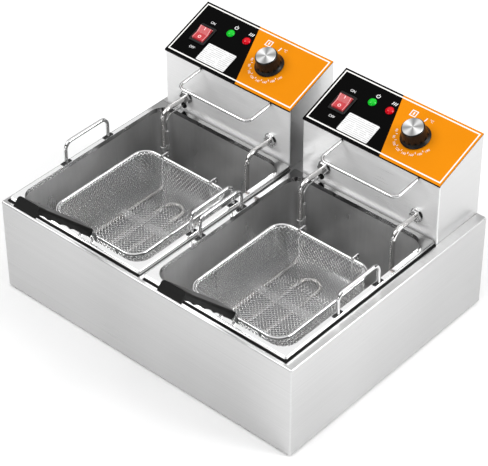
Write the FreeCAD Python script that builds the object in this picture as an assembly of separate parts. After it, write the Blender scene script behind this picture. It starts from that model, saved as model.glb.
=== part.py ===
import FreeCAD, Part
import math
import os

V = FreeCAD.Vector
os.makedirs("parts", exist_ok=True)

# Twin-tank countertop deep fryer.
# Millimetres. X runs along the front, Y from the front to the back, Z up from the worktop.
# Everything is drawn from the casing's front face and moved at the end so that the
# origin is at the centre of the machine's footprint, on the worktop.

# ---- driving dimensions ---------------------------------------------------------------

# clearances
gap_move = 0.4          # between pieces that lift apart
gap_run = 0.05          # radial, shaft in its bush
gap_peg = 0.6           # radial, locating peg in the head's base
gap_panel = 0.4         # radial, moving piece in a panel cut-out
gap_well = 2.0          # between a tank's mouth and its well in the deck
gap_head = 1.3          # between a tank's rim and the head's front
gap_lip = 1.6           # between a tank's turned-down lip and the deck

# sheet metal
sheet = 1.0
fold_r = 2.5
screw_r = 3.6           # pan heads on the back
screw_h = 2.2
vent_slots = 5
vent_w = 4.0

# casing
casing_w = 560.0
casing_d = 438.0
casing_h = 158.0
foot_h = 3.0
foot_r = 13.0
foot_round = 0.8
foot_inset = 42.0
floor_slots = 4         # under each tank
floor_slot_w = 8.0
floor_slot_l = 120.0
floor_slot_pitch = 38.0
rear_vent_l = 90.0
rear_vent_pitch = 12.0
rear_vent_up = 50.0     # lowest slot above the bottom plate
rear_screw_side = 18.0
rear_screw_low = 14.0
rear_screw_high = 16.0

# pegs on the rear deck that locate the heads
peg_r = 4.0
peg_h = 9.0
peg_tip = 1.2
peg_side = 30.5         # from the head's sides
peg_back = 39.28        # from the casing's back

# oil tanks
tank_left = 8.5         # casing's left side to the left rim
tank_right = 17.5       # casing's right side to the right rim
tank_between = 8.0
tank_front = 9.3
tank_under = 20.0       # pan's underside above the bottom plate
tank_flange = 8.5
tank_lip = 8.0
tank_rim_corner = 4.0
tank_rim_round = 1.8
tank_corner_r = 26.0
tank_floor_r = 20.0
tank_draft = 6.0        # floor is this much smaller than the mouth on each side

# tank carrying handles
handle_wire = 6.0
handle_span = 89.0
handle_rise = 38.0
handle_bend = 13.0
handle_forward = 6.4    # in front of the tank's middle
handle_pad = 18.0

# baskets, inside the tanks' mouths
basket_gap_left = 49.0  # outside of the rim to the mouth
basket_gap_right = 19.0
basket_gap_front = 12.7
basket_corner_r = 24.0
rim_above_deck = 0.5
rim_wire = 5.0
frame_wire = 3.6
frame_side = 37.5       # frame wires in from the rim's sides
frame_bend = 14.0
mesh_t = 1.2
mesh_above_rim = 1.0
hook_reach = 12.0
hook_drop = 9.0
hook_bend = 3.0
hook_gap = 32.0         # hooks to the element's legs

# basket grips
grip_w = 42.0
grip_l = 138.0
grip_depth = 12.5
grip_lip = 17.5
grip_wall = 2.6
grip_angle = 45.0
grip_root_up = 28.0     # root above the rim
grip_root_fwd = 15.0    # root in front of the rim
grip_round = 5.0
grip_waves = 4
grip_wave_depth = 2.2
grip_block = 26.0       # solid root that holds the brace
brace_wire = 5.0
brace_pitch = 24.0
brace_drop = 42.0
brace_bend = 9.0
brace_cover = 1.5       # moulding below the brace wires
brace_seat = 4.0        # wire ends short of the root's end

# control heads
head_side = 16.7        # casing's side to the head
head_between = 24.6
head_d = 98.2
head_front_h = 106.2    # sloped panel's front edge above the deck
head_rise = 37.0        # panel's back edge above its front edge
panel_t = 1.2
panel_lip = 3.0

# basket bails
bail_wire = 5.0
bail_side = 20.5        # beyond the basket's hooks on each side
bail_reach = 53.0
bail_offset = 18.5
bail_below_panel = 5.6
bail_fall = 5.0
bail_bend = 11.0
bail_inside = 8.0       # ends inside the head

# heating elements
element_tube = 8.0
leg_side = 31.5         # legs to the tank's floor sides
leg_offset = 3.0
leg_reach = 55.0
leg_above_deck = 36.0
leg_bend = 17.0
leg_inside = 12.0       # ends inside the head
element_passes = 6
element_above_floor = 24.8
loop_front = 28.2       # front bends behind the mouth's front
loop_back = 22.8        # rear bends in front of the legs
loop_join = 30.0        # legs meet the loops in front of the rear bends
nut_af = 17.0
nut_t = 5.0
washer_r = 11.5
washer_t = 1.2
strap_w = 14.0
strap_t = 1.5
strap_front = 40.0      # behind the front bends
strap_back = 71.0       # in front of the rear bends

# thermostat probe
bulb_r = 3.0
bulb_round = 1.5
bulb_above_element = 22.0
bulb_below_deck = 3.2
capillary_r = 1.1
capillary_bend = 6.0
capillary_seat = 3.0    # capillary's end inside the bulb
capillary_back = 16.0   # from the bulb to the turn towards the grommet
capillary_inside = 14.0 # ends inside the head
grommet_r = 5.0
grommet_lip = 1.8
grommet_neck = 1.2      # groove for the head's sheet
grommet_side = 6.0      # outside the left leg
grommet_above_deck = 17.0
clip_t = 0.8
clip_h = 8.0
clip_web = 4.0
clip_low = 6.0          # above the bulb's lower end
clip_high = 34.0        # below the bulb's upper end

# knob and thermostat
knob_u = 168.5          # from the panel's left edge
knob_s = 52.0           # from the panel's front edge
skirt_r = 23.0
skirt_t = 3.0
knob_top_r = 17.2
knob_h = 24.0
knob_low = 1.4          # above the panel
knob_flutes = 14
flute_r = 3.0
flute_out = 4.2         # flute's axis outside the knob's top
cap_edge = 1.4          # knob's rim round the cap
cap_t = 1.0
cap_proud = 0.3
shaft_r = 3.0
shaft_flat = 1.2
shaft_seat = 8.0        # shaft's end below the knob's top
bush_r = 5.0
bush_up = 0.8
thermostat_r = 19.0
thermostat_h = 22.0
thermostat_bore = 14.0

# power switch
switch_u = 36.5
switch_s = 49.0
bezel_border = 4.0      # round the rocker
bezel_lap = 2.5         # over the edge of the hole
bezel_t = 2.4
rocker_w = 22.0
rocker_l = 27.0
rocker_tilt = 7.0       # each way from level
rocker_pivot_h = -1.5
rocker_end_gap = 0.3    # more room at its ends
switch_body_h = 22.0
switch_well = 9.0

# lamps
lamp_s = 71.7
green_u = 74.5
red_u = 106.6
lamp_r = 6.6
lamp_base = 1.2
lamp_dome = 3.6
lamp_body_r = 5.0
lamp_body_h = 24.0

# label plate
label_u = 56.5
label_s = 7.0
label_w = 56.0
label_l = 34.0
label_t = 0.4

# back of the head
gland_side = 70.0       # right of the head's middle
gland_r = 9.0
gland_l = 13.0
gland_bore = 3.6
gland_neck = 2.0        # gland's body smaller than its flange in the sheet
gland_nut = 4.0
reset_side = 70.0       # left of the head's middle
reset_r = 5.0
reset_cap = 2.0         # mushroom beyond the stem
reset_cap_h = 3.0
reset_travel = 2.0
reset_inside = 12.0
back_fittings_up = 34.0 # gland and reset above the deck
head_vent_l = 110.0
head_vent_pitch = 11.0
head_vent_up = 76.0
head_screw_side = 12.0
head_screw_low = 10.0

# ---- derived positions ----------------------------------------------------------------

z_floor = foot_h
z_deck = foot_h + casing_h
z_flange = z_deck + tank_lip
z_rim = z_deck + rim_above_deck
z_head = z_deck + gap_move
head_w = (casing_w - 2 * head_side - head_between) / 2
head_pitch = head_w + head_between
head_front = casing_d - head_d
slope = math.degrees(math.atan2(head_rise, head_d))
slope_l = math.hypot(head_rise, head_d)
z_panel = z_deck + head_front_h

tank_w = (casing_w - tank_left - tank_right - tank_between) / 2
tank_pitch = tank_w + tank_between
tank_offset = (tank_left - tank_right) / 2
tank_d = head_front - gap_head - tank_front
tank_mid_y = tank_front + tank_d / 2
mouth_w = tank_w - 2 * tank_flange
mouth_d = tank_d - 2 * tank_flange
mouth_front = tank_front + tank_flange
z_tank_out = z_floor + sheet + tank_under

leg_pitch = mouth_w - 2 * tank_draft - 2 * leg_side
z_leg = z_deck + leg_above_deck
y_leg = head_front - leg_reach
element_front = mouth_front + loop_front
element_back = y_leg - loop_back
z_element = z_tank_out + sheet + element_above_floor + element_tube / 2
z_strap = z_element + element_tube / 2 + strap_t

# a basket stands on the straps, between the mouth's front and the element's legs
basket_w = mouth_w - basket_gap_left - basket_gap_right - rim_wire
basket_offset = (basket_gap_left - basket_gap_right) / 2
basket_front_y = mouth_front + basket_gap_front + rim_wire / 2
basket_back = y_leg - element_tube / 2 - hook_gap - frame_wire / 2 - hook_reach
basket_d = basket_back - basket_front_y
basket_mid_y = basket_front_y + basket_d / 2
basket_depth = z_rim - frame_wire / 2 - gap_move - z_strap
frame_pitch = basket_w - 2 * frame_side
bail_span = frame_pitch + 2 * bail_side

bezel_w = rocker_w + 2 * bezel_border
bezel_l = rocker_l + 2 * bezel_border
cap_r = knob_top_r - cap_edge


# ---- shape helpers --------------------------------------------------------------------

def box(x0, x1, y0, y1, z0, z1):
    return Part.makeBox(x1 - x0, y1 - y0, z1 - z0, V(x0, y0, z0))


def rod(p, axis, r, length):
    return Part.makeCylinder(r, length, p, axis)


def compound(shapes):
    return Part.makeCompound(list(shapes))


def fuse(shapes):
    shapes = list(shapes)
    out = shapes[0]
    if len(shapes) > 1:
        out = out.multiFuse(shapes[1:])
    return out.removeSplitter()


def round_rect(cx, cy, w, d, r, z):
    """Closed wire: a rectangle with rounded corners, level at z."""
    x0, x1, y0, y1 = cx - w / 2, cx + w / 2, cy - d / 2, cy + d / 2
    k = r * (1 - math.sqrt(0.5))
    corners = [
        (V(x0 + r, y0, z), V(x1 - r, y0, z), V(x1 - k, y0 + k, z), V(x1, y0 + r, z)),
        (V(x1, y0 + r, z), V(x1, y1 - r, z), V(x1 - k, y1 - k, z), V(x1 - r, y1, z)),
        (V(x1 - r, y1, z), V(x0 + r, y1, z), V(x0 + k, y1 - k, z), V(x0, y1 - r, z)),
        (V(x0, y1 - r, z), V(x0, y0 + r, z), V(x0 + k, y0 + k, z), V(x0 + r, y0, z)),
    ]
    edges = []
    for a, b, mid, c in corners:
        edges.append(Part.makeLine(a, b))
        edges.append(Part.Arc(b, mid, c).toShape())
    return Part.Wire(edges)


def round_prism(cx, cy, w, d, r, z0, z1):
    face = Part.Face(round_rect(cx, cy, w, d, r, z0))
    return face.extrude(V(0, 0, z1 - z0))


def bent_path(points, bend):
    """Open wire through the points, with each inner corner rounded to the bend radius."""
    edges = []
    start = points[0]
    for a, b, c in zip(points, points[1:], points[2:]):
        d1, d2 = (b - a).normalize(), (c - b).normalize()
        angle = d1.getAngle(d2)
        t = bend * math.tan(angle / 2)
        p1, p2 = b - d1 * t, b + d2 * t
        inward = (d2 - d1).normalize()
        centre = b + inward * (bend / math.cos(angle / 2))
        if (p1 - start).Length > 1e-6:
            edges.append(Part.makeLine(start, p1))
        edges.append(Part.Arc(p1, centre - inward * bend, p2).toShape())
        start = p2
    if (points[-1] - start).Length > 1e-6:
        edges.append(Part.makeLine(start, points[-1]))
    return Part.Wire(edges)


def bent_wire(points, bend, r):
    """Solid round wire along a bent path."""
    path = bent_path(points, bend)
    disc = Part.Wire(Part.makeCircle(r, points[0], points[1] - points[0]))
    return path.makePipeShell([disc], True, False)


def wire_loop(cx, cy, w, d, corner, z, r):
    """Closed round-cornered ring of wire, level at z, as two halves joined."""
    halves = []
    for s in (-1, 1):
        points = [V(cx, cy - d / 2, z), V(cx + s * w / 2, cy - d / 2, z),
                  V(cx + s * w / 2, cy + d / 2, z), V(cx, cy + d / 2, z)]
        halves.append(bent_wire(points, corner, r))
    return fuse(halves)


def hexagon(p, axis_y, af, length):
    """Hexagonal prism that runs from p along +Y (axis_y = 1) or -Y (-1)."""
    pts = []
    for i in range(7):
        a = math.radians(60 * i)
        pts.append(p + V(af / math.sqrt(3) * math.cos(a), 0, af / math.sqrt(3) * math.sin(a)))
    return Part.Face(Part.makePolygon(pts)).extrude(V(0, axis_y * length, 0))


def pan_head(p, direction, r, t):
    """Domed screw head with a cross recess, standing on p."""
    head = rod(p, direction, r, t)
    rim = [e for e in head.Edges if len(e.Vertexes) == 1 and
           abs((e.CenterOfMass - p).dot(direction) - t) < 1e-6]
    head = head.makeFillet(t * 0.6, rim)
    tip = p + direction * (t * 0.45)
    for a, b in ((1.3, 0.28), (0.28, 1.3)):
        head = head.cut(box(tip.x - r / 2 * a, tip.x + r / 2 * a,
                            tip.y, tip.y + direction.y * t if direction.y > 0 else tip.y + t,
                            tip.z - r / 2 * b, tip.z + r / 2 * b))
    return head


def panel_place(shape, x_left):
    """Moves a shape drawn flat (u, s, height) onto the sloped panel of a head."""
    out = shape.copy()
    out.Placement = FreeCAD.Placement(V(x_left, head_front, z_panel),
                                      FreeCAD.Rotation(V(1, 0, 0), slope)).multiply(out.Placement)
    return out


parts = {}


# ---- casing ---------------------------------------------------------------------------

def tank_centre(side):
    return tank_offset + side * tank_pitch / 2


def head_centre(side):
    return side * head_pitch / 2


half_w = casing_w / 2
shell = box(-half_w, half_w, 0, casing_d, z_floor, z_deck)
outer_edges = [e for e in shell.Edges if
               (e.CenterOfMass.y < 1 and e.CenterOfMass.z > z_floor + 1) or
               (e.CenterOfMass.z > z_deck - 1 and e.CenterOfMass.y < casing_d - 1)]
shell = shell.makeFillet(fold_r, outer_edges)
inner = box(-half_w + sheet, half_w - sheet, sheet, casing_d + 1, z_floor - 1, z_deck - sheet)
shell = shell.cut(inner)
for side in (-1, 1):
    shell = shell.cut(round_prism(tank_centre(side), tank_mid_y, mouth_w + 2 * gap_well,
                                  mouth_d + 2 * gap_well, tank_corner_r + gap_well,
                                  z_deck - sheet - 1, z_deck + 1))
parts["casing_shell"] = shell

# bottom plate lies between the walls, with vent slots under each tank
bottom = box(-half_w + sheet, half_w - sheet, sheet, casing_d - sheet, z_floor, z_floor + sheet)
for side in (-1, 1):
    for i in range(floor_slots):
        x = tank_centre(side) + (i - (floor_slots - 1) / 2) * floor_slot_pitch
        bottom = bottom.cut(round_prism(x, casing_d / 2, floor_slot_w, floor_slot_l,
                                        floor_slot_w / 2 - 0.1, z_floor - 1, z_floor + sheet + 1))
parts["bottom_plate"] = bottom

# rear panel closes the back between the walls and under the deck
back = box(-half_w + sheet, half_w - sheet, casing_d - sheet, casing_d,
           z_floor, z_deck - sheet)
for side in (-1, 1):
    for i in range(vent_slots):
        z = z_floor + rear_vent_up + i * rear_vent_pitch
        x = head_centre(side)
        back = back.cut(box(x - rear_vent_l / 2, x + rear_vent_l / 2, casing_d - sheet - 1,
                            casing_d + 1, z, z + vent_w))
parts["back_panel"] = back

casing_screws = []
for x in (-half_w + rear_screw_side, 0, half_w - rear_screw_side):
    for z in (z_floor + rear_screw_low, z_deck - rear_screw_high):
        casing_screws.append(pan_head(V(x, casing_d, z), V(0, 1, 0), screw_r, screw_h))
parts["casing_screws"] = compound(casing_screws)

feet = []
for x in (-half_w + foot_inset, half_w - foot_inset):
    for y in (foot_inset, casing_d - foot_inset):
        foot = rod(V(x, y, 0), V(0, 0, 1), foot_r, foot_h)
        feet.append(foot.makeFillet(foot_round, [e for e in foot.Edges if e.CenterOfMass.z < 0.1
                                                 and len(e.Vertexes) == 1]))
parts["feet"] = compound(feet)

# pegs welded on the rear deck, two under each head
peg_pitch = head_w - 2 * peg_side
peg_y = casing_d - peg_back
pegs = []
for side in (-1, 1):
    for s in (-1, 1):
        peg = rod(V(head_centre(side) + s * peg_pitch / 2, peg_y, z_deck), V(0, 0, 1), peg_r, peg_h)
        pegs.append(peg.makeChamfer(peg_tip, [e for e in peg.Edges
                                              if e.CenterOfMass.z > z_deck + peg_h - 0.1
                                              and len(e.Vertexes) == 1]))
parts["locating_pegs"] = compound(pegs)


# ---- oil tank and its carrying handles ---------------------------------------------------

def pan_solid(cx, shrink, z_low, floor_r):
    """Solid inside of a wall face: drafted round-cornered block with a rounded floor."""
    top = round_rect(cx, tank_mid_y, mouth_w - 2 * shrink, mouth_d - 2 * shrink,
                     tank_corner_r - shrink, z_flange)
    low = round_rect(cx, tank_mid_y, mouth_w - 2 * shrink - 2 * tank_draft,
                     mouth_d - 2 * shrink - 2 * tank_draft, tank_corner_r - shrink, z_low)
    block = Part.makeLoft([low, top], True, True)
    rim = [e for e in block.Edges if abs(e.BoundBox.ZMax - z_low) < 1e-3]
    return block.makeFillet(floor_r, rim)


def make_tank(side):
    cx = tank_centre(side)
    rim = round_prism(cx, tank_mid_y, tank_w, tank_d, tank_rim_corner, z_deck + gap_lip, z_flange)
    top = [e for e in rim.Edges if e.BoundBox.ZMin > z_flange - 1e-3]
    rim = rim.makeFillet(tank_rim_round, top)
    rim = rim.cut(round_prism(cx, tank_mid_y, tank_w - 2 * sheet, tank_d - 2 * sheet,
                              tank_rim_corner - sheet, z_deck, z_flange - sheet))
    pan = pan_solid(cx, -sheet, z_tank_out, tank_floor_r)
    body = fuse([rim, pan])
    return body.cut(pan_solid(cx, 0, z_tank_out + sheet, tank_floor_r - sheet))


def make_tank_handles(side):
    y0 = tank_mid_y - handle_forward - handle_span / 2
    y1 = y0 + handle_span
    top = z_flange + handle_rise
    r = handle_wire / 2
    pieces = []
    for s in (-1, 1):
        x = tank_centre(side) + s * (tank_w - tank_flange) / 2
        path = [V(x, y0, z_flange), V(x, y0, top - r), V(x, y1, top - r), V(x, y1, z_flange)]
        loop = bent_wire(path, handle_bend, r)
        pads = [box(x - r, x + r, y - handle_pad / 2, y + handle_pad / 2, z_flange,
                    z_flange + sheet) for y in (y0, y1)]
        pieces.append(fuse([loop] + pads))
    return compound(pieces)


# ---- basket --------------------------------------------------------------------------------

def basket_centre(side):
    return tank_centre(side) + basket_offset


mesh_w = basket_w - rim_wire
mesh_d = basket_d - rim_wire
z_mesh_low = z_rim - basket_depth + frame_wire / 2


def make_basket_frame(side):
    cx = basket_centre(side)
    rim = wire_loop(cx, basket_mid_y, basket_w, basket_d, basket_corner_r, z_rim, rim_wire / 2)
    r = frame_wire / 2
    pieces = [rim]
    y0 = basket_mid_y - mesh_d / 2 - r
    y1 = basket_mid_y + mesh_d / 2 + r
    z_low = z_rim - basket_depth
    for s in (-1, 1):
        x = cx + s * frame_pitch / 2
        pieces.append(bent_wire([V(x, y0, z_rim), V(x, y0, z_low), V(x, y1, z_low),
                                 V(x, y1, z_rim)], frame_bend, r))
        z_hook = z_rim + rim_wire / 2 + r * 0.6
        y_hook = basket_back + hook_reach
        pieces.append(bent_wire([V(x, basket_back - rim_wire * 0.6, z_hook), V(x, y_hook, z_hook),
                                 V(x, y_hook, z_hook - hook_drop)], hook_bend, r))
    return fuse(pieces)


def make_basket_mesh(side):
    cx = basket_centre(side)
    bend = frame_bend - frame_wire / 2
    corner = basket_corner_r - rim_wire / 2

    def tub(shrink, z_low):
        block = round_prism(cx, basket_mid_y, mesh_w - 2 * shrink, mesh_d - 2 * shrink,
                            corner - shrink, z_low, z_rim + mesh_above_rim)
        low = [e for e in block.Edges if e.BoundBox.ZMax < z_low + 1e-3]
        return block.makeFillet(bend - shrink, low)

    return tub(0, z_mesh_low).cut(tub(mesh_t, z_mesh_low + mesh_t))


# grip and brace share one line that climbs forward from the basket's front rim
grip_dir = V(0, -math.cos(math.radians(grip_angle)), math.sin(math.radians(grip_angle)))
grip_up = V(0, math.sin(math.radians(grip_angle)), math.cos(math.radians(grip_angle)))
grip_root = V(0, basket_front_y - grip_root_fwd, z_rim + grip_root_up)
grip_turn = FreeCAD.Rotation(V(-1, 0, 0), grip_dir, grip_up, "XYZ")
brace_depth = grip_depth - grip_wall - brace_wire / 2 - brace_cover


def brace_wires(side):
    cx = basket_centre(side)
    r = brace_wire / 2
    out = []
    y_wall = basket_front_y - rim_wire / 2 - r
    for s in (-1, 1):
        x = cx + s * brace_pitch / 2
        inside = (V(x, 0, 0) + grip_root + grip_dir * (grip_block - brace_seat)
                  - grip_up * brace_depth)
        # the line of the grip carried down to the front wall of the basket
        t = (y_wall - inside.y) / -grip_dir.y
        knee = inside - grip_dir * t
        out.append(bent_wire([inside, knee, V(x, y_wall, z_rim - brace_drop)], brace_bend, r))
    # tie bar in front of the two support wires of the basket
    y_bar = basket_mid_y - mesh_d / 2 - frame_wire - r
    out.append(rod(V(cx - frame_pitch / 2 - r, y_bar, z_rim - brace_drop + r), V(1, 0, 0), r,
                   frame_pitch + 2 * r))
    return out


def make_grip_brace(side):
    """Two bent wires up the basket's front and into the grip, tied by a bar."""
    return fuse(brace_wires(side))


def make_grip(side):
    w = grip_w / 2
    body = box(-w, w, 0, grip_l, -grip_depth, 0)
    long_top = [e for e in body.Edges if e.BoundBox.ZMin > -1e-3 and e.BoundBox.XMax
                - e.BoundBox.XMin < 1e-3]
    body = body.makeFillet(grip_round, long_top)
    channel = box(-w + grip_wall, w - grip_wall, grip_block, grip_l - grip_wall,
                  -grip_depth - 1, -grip_wall)
    body = body.cut(channel)
    pitch = (grip_l - grip_block) / grip_waves
    wave_r = (pitch * pitch / 4 + grip_wave_depth ** 2) / (2 * grip_wave_depth)
    for i in range(grip_waves):
        y = grip_block + (i + 0.5) * pitch - 2.0
        body = body.cut(rod(V(-w - 1, y, -grip_depth - wave_r + grip_wave_depth), V(1, 0, 0),
                            wave_r, grip_w + 2))
    lip = box(-w, w, grip_l - 1.2 * grip_wall, grip_l, -grip_lip, -grip_round)
    low = [e for e in lip.Edges if e.BoundBox.ZMax < -grip_lip + 1e-3 and
           e.BoundBox.YMax - e.BoundBox.YMin < 1e-3]
    lip = lip.makeFillet(1.2, low)
    body = fuse([body, lip])
    body.Placement = FreeCAD.Placement(grip_root + V(basket_centre(side), 0, 0), grip_turn)
    return body.cut(fuse(brace_wires(side)))


# ---- control head ----------------------------------------------------------------------------

def head_profile(inset, bottom):
    """Side outline of the head in the YZ plane, inset from the panel's underside."""
    drop = (panel_t + inset) / math.cos(math.radians(slope))
    y0, y1 = head_front + inset, casing_d
    tan = math.tan(math.radians(slope))
    z_front = z_panel + inset * tan - drop
    z_back = z_panel + head_rise - drop
    return [(y0, bottom), (y0, z_front), (y1, z_back), (y1, bottom)]


def head_solid(cx, side_inset, inset, bottom):
    x = cx - head_w / 2 + side_inset
    pts = [V(x, y, z) for y, z in head_profile(inset, bottom)]
    face = Part.Face(Part.makePolygon(pts + [pts[0]]))
    return face.extrude(V(head_w - 2 * side_inset, 0, 0))


def panel_hole(u, s, r, x_left):
    return panel_place(rod(V(u, s, -40), V(0, 0, 1), r, 60), x_left)


def switch_hole(x_left):
    half_bw, half_bl = bezel_w / 2 - bezel_lap, bezel_l / 2 - bezel_lap
    hole = box(switch_u - half_bw, switch_u + half_bw, switch_s - half_bl, switch_s + half_bl,
               -40, 20)
    return panel_place(hole, x_left)


def panel_cutters(x_left):
    return [panel_hole(knob_u, knob_s, bush_r, x_left),
            panel_hole(green_u, lamp_s, lamp_body_r, x_left),
            panel_hole(red_u, lamp_s, lamp_body_r, x_left),
            switch_hole(x_left)]


def leg_x(side):
    cx = head_centre(side) + leg_offset
    return cx - leg_pitch / 2, cx + leg_pitch / 2


def bail_points(side):
    cx = head_centre(side) + bail_offset
    z = z_panel - bail_below_panel
    z_inside = z + bail_fall * bail_inside / bail_reach
    return [V(cx - bail_span / 2, head_front + bail_inside, z_inside),
            V(cx - bail_span / 2, head_front - bail_reach, z - bail_fall),
            V(cx + bail_span / 2, head_front - bail_reach, z - bail_fall),
            V(cx + bail_span / 2, head_front + bail_inside, z_inside)]


def grommet_point(side):
    return V(leg_x(side)[0] - grommet_side, head_front, z_deck + grommet_above_deck)


def make_head_housing(side):
    cx = head_centre(side)
    x_left = cx - head_w / 2
    outer = head_solid(cx, 0, 0, z_head)
    corners = [e for e in outer.Edges if e.BoundBox.YMax < head_front + 1e-3
               and e.BoundBox.ZMax - e.BoundBox.ZMin > 10]
    outer = outer.makeFillet(fold_r, corners)
    z_open = z_panel + head_rise - (panel_t + sheet) / math.cos(math.radians(slope))
    open_back = box(x_left + sheet, x_left + head_w - sheet, casing_d - sheet - 0.001,
                    casing_d + 1, z_head - 1, z_open)
    body = outer.cut(head_solid(cx, sheet, sheet, z_head - 1).fuse(open_back))
    cutters = panel_cutters(x_left)
    for x in leg_x(side):
        cutters.append(rod(V(x, head_front - 1, z_leg), V(0, 1, 0), element_tube / 2, 4))
    neck_r = grommet_r - grommet_neck
    cutters.append(rod(grommet_point(side) - V(0, 1, 0), V(0, 1, 0), neck_r, 4))
    cutters.append(bent_wire(bail_points(side), bail_bend, bail_wire / 2))
    return body.cut(cutters[0].multiFuse(cutters[1:]))


def make_head_base(side):
    cx = head_centre(side)
    plate = box(cx - head_w / 2 + sheet, cx + head_w / 2 - sheet, head_front + sheet,
                casing_d - sheet, z_head, z_head + sheet)
    for s in (-1, 1):
        plate = plate.cut(rod(V(cx + s * peg_pitch / 2, peg_y, z_head - 1), V(0, 0, 1),
                              peg_r + gap_peg, 4))
    return plate


def gland_point(side):
    return V(head_centre(side) + gland_side, casing_d, z_deck + back_fittings_up)


def reset_point(side):
    return V(head_centre(side) - reset_side, casing_d, z_deck + back_fittings_up)


def make_head_back(side):
    cx = head_centre(side)
    z_top = (z_panel + head_rise - (panel_t + sheet) / math.cos(math.radians(slope))
             - sheet * math.tan(math.radians(slope)))
    plate = box(cx - head_w / 2 + sheet, cx + head_w / 2 - sheet, casing_d - sheet, casing_d,
                z_head, z_top)
    for i in range(vent_slots):
        z = z_deck + head_vent_up + i * head_vent_pitch
        plate = plate.cut(box(cx - head_vent_l / 2, cx + head_vent_l / 2, casing_d - sheet - 1,
                              casing_d + 1, z, z + vent_w))
    plate = plate.cut(rod(gland_point(side) - V(0, 3, 0), V(0, 1, 0), gland_r - gland_neck, 6))
    plate = plate.cut(rod(reset_point(side) - V(0, 3, 0), V(0, 1, 0), reset_r + gap_panel, 6))
    screws = []
    for s in (-1, 1):
        x = cx + s * (head_w / 2 - head_screw_side)
        for z in (z_head + head_screw_low, z_top - head_screw_side):
            screws.append(pan_head(V(x, casing_d, z), V(0, 1, 0), screw_r, screw_h))
    return fuse([plate] + screws)


def make_panel(side):
    """Printed plate on the slope, its front edge turned down over the head."""
    x_left = head_centre(side) - head_w / 2
    plate = box(0, head_w, 0, slope_l, -panel_t, 0)
    plate = panel_place(plate, x_left)
    lip_z = z_panel - panel_lip
    lip = box(x_left, x_left + head_w, head_front - panel_t, head_front + panel_t, lip_z, z_panel)
    body = fuse([plate, lip])
    body = body.cut(box(x_left - 1, x_left + head_w + 1, casing_d, casing_d + 5,
                        z_panel, z_panel + head_rise + 5))
    cutters = panel_cutters(x_left)
    body = body.cut(cutters[0].multiFuse(cutters[1:]))
    return body.cut(head_solid(head_centre(side), 0, 0, z_head))


def make_label(side):
    x_left = head_centre(side) - head_w / 2
    plate = round_prism(label_u + label_w / 2, label_s + label_l / 2, label_w, label_l, 2.0,
                        0, label_t)
    return panel_place(plate, x_left)


def make_bail(side):
    """Bent wire that the basket's hooks hang on while the oil drains."""
    return bent_wire(bail_points(side), bail_bend, bail_wire / 2)


# ---- heating element ---------------------------------------------------------------------------

def make_element(side):
    """Legs down from the head, then a level run of hairpin loops above the tank floor."""
    x0, x1 = leg_x(side)
    n = element_passes
    pitch = (x1 - x0) / (n - 1)
    r = element_tube / 2
    pieces = []
    for x in (x0, x1):
        path = [V(x, head_front + leg_inside, z_leg), V(x, y_leg, z_leg),
                V(x, y_leg, z_element), V(x, element_back - loop_join, z_element)]
        pieces.append(bent_wire(path, leg_bend, r))
    u = pitch / 2
    for i in range(n):
        x = x0 + i * pitch
        y_near = element_front + u
        y_far = element_back - loop_join if i in (0, n - 1) else element_back - u
        pieces.append(rod(V(x, y_near, z_element), V(0, 1, 0), r, y_far - y_near))
    for i in range(n - 1):
        x = x0 + (i + 0.5) * pitch
        front = i % 2 == 0
        y = element_front + u if front else element_back - u
        sign = -1 if front else 1
        arc = Part.Wire([Part.Arc(V(x - u, y, z_element), V(x, y + sign * u, z_element),
                                  V(x + u, y, z_element)).toShape()])
        disc = Part.Wire(Part.makeCircle(r, V(x - u, y, z_element), V(0, 1, 0)))
        pieces.append(arc.makePipeShell([disc], True, False))
    return fuse(pieces)


def make_element_nuts(side):
    """Hexagonal nut and washer on each leg, against the head's front."""
    pieces = []
    for x in leg_x(side):
        face = V(x, head_front, z_leg)
        washer = rod(face - V(0, washer_t, 0), V(0, 1, 0), washer_r, washer_t)
        nut = hexagon(face - V(0, washer_t, 0), -1, nut_af, nut_t)
        body = fuse([washer, nut])
        pieces.append(body.cut(rod(face - V(0, 20, 0), V(0, 1, 0), element_tube / 2, 25)))
    return compound(pieces)


def bulb_axis(side):
    return V(leg_x(side)[0], y_leg + element_tube / 2 + bulb_r + clip_t, 0)


def bulb_ends():
    return z_element + bulb_above_element, z_deck - bulb_below_deck


def make_element_straps(side):
    """Flat bars across the loops, which the basket stands on, and two clips for the probe."""
    x0, x1 = leg_x(side)
    pieces = []
    for y in (element_front + strap_front, element_back - strap_back):
        pieces.append(box(x0 - element_tube / 2, x1 + element_tube / 2, y - strap_w / 2,
                          y + strap_w / 2, z_strap - strap_t, z_strap))
    b = bulb_axis(side)
    leg = V(x0, y_leg, 0)
    r_leg, r_bulb = element_tube / 2, bulb_r
    bulb_low, bulb_high = bulb_ends()
    for z in (bulb_low + clip_low, bulb_high - clip_high):
        body = rod(V(leg.x, leg.y, z), V(0, 0, 1), r_leg + clip_t, clip_h)
        body = body.fuse(rod(V(b.x, b.y, z), V(0, 0, 1), r_bulb + clip_t, clip_h))
        body = body.fuse(box(leg.x - clip_web / 2, leg.x + clip_web / 2, leg.y, b.y, z, z + clip_h))
        body = body.cut(rod(V(leg.x, leg.y, z - 1), V(0, 0, 1), r_leg, clip_h + 2))
        pieces.append(body.cut(rod(V(b.x, b.y, z - 1), V(0, 0, 1), r_bulb, clip_h + 2)))
    return compound(pieces)


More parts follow.
